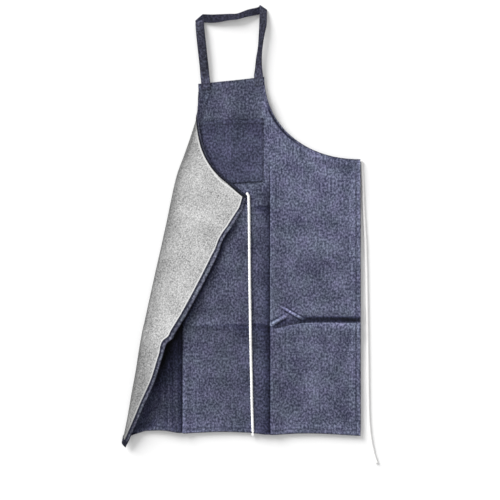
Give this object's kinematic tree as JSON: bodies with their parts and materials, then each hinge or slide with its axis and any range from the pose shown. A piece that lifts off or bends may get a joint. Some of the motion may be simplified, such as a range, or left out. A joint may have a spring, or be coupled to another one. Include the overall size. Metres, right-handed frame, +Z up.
{
  "type": "shop apron",
  "caption": "Denim bib apron laid flat with one side folded over the front: curved armholes, bib pocket, neck strap and white waist cords.",
  "frame": {"origin": "middle of the waist line, on the surface that the apron lies on", "axes": "+X across the apron towards the open side, +Y up the apron towards the neck, +Z up off the surface, towards the apron's front"},
  "size_m": [0.662, 1.1861, 0.0393],
  "materials": {
    "denim": "indigo twill denim with a pale grey reverse, matt",
    "denim_hem": "the same denim turned over and stitched, face out on the reverse side",
    "denim_pocket": "darker indigo denim, matt",
    "strap_tape": "dark slate woven cotton tape, matt",
    "white_cotton": "white braided cotton cord, matt"
  },
  "bodies": {
    "root": {"body_panel": "denim", "bib_hem": "denim_hem", "left_armhole_hem": "denim_hem", "right_armhole_hem": "denim_hem", "left_side_hem": "denim_hem", "right_side_hem": "denim_hem", "bottom_hem": "denim_hem", "bib_pocket": "denim_pocket", "neck_strap": "strap_tape", "left_tie": "white_cotton", "right_tie": "white_cotton"}
  },
  "joints": []
}
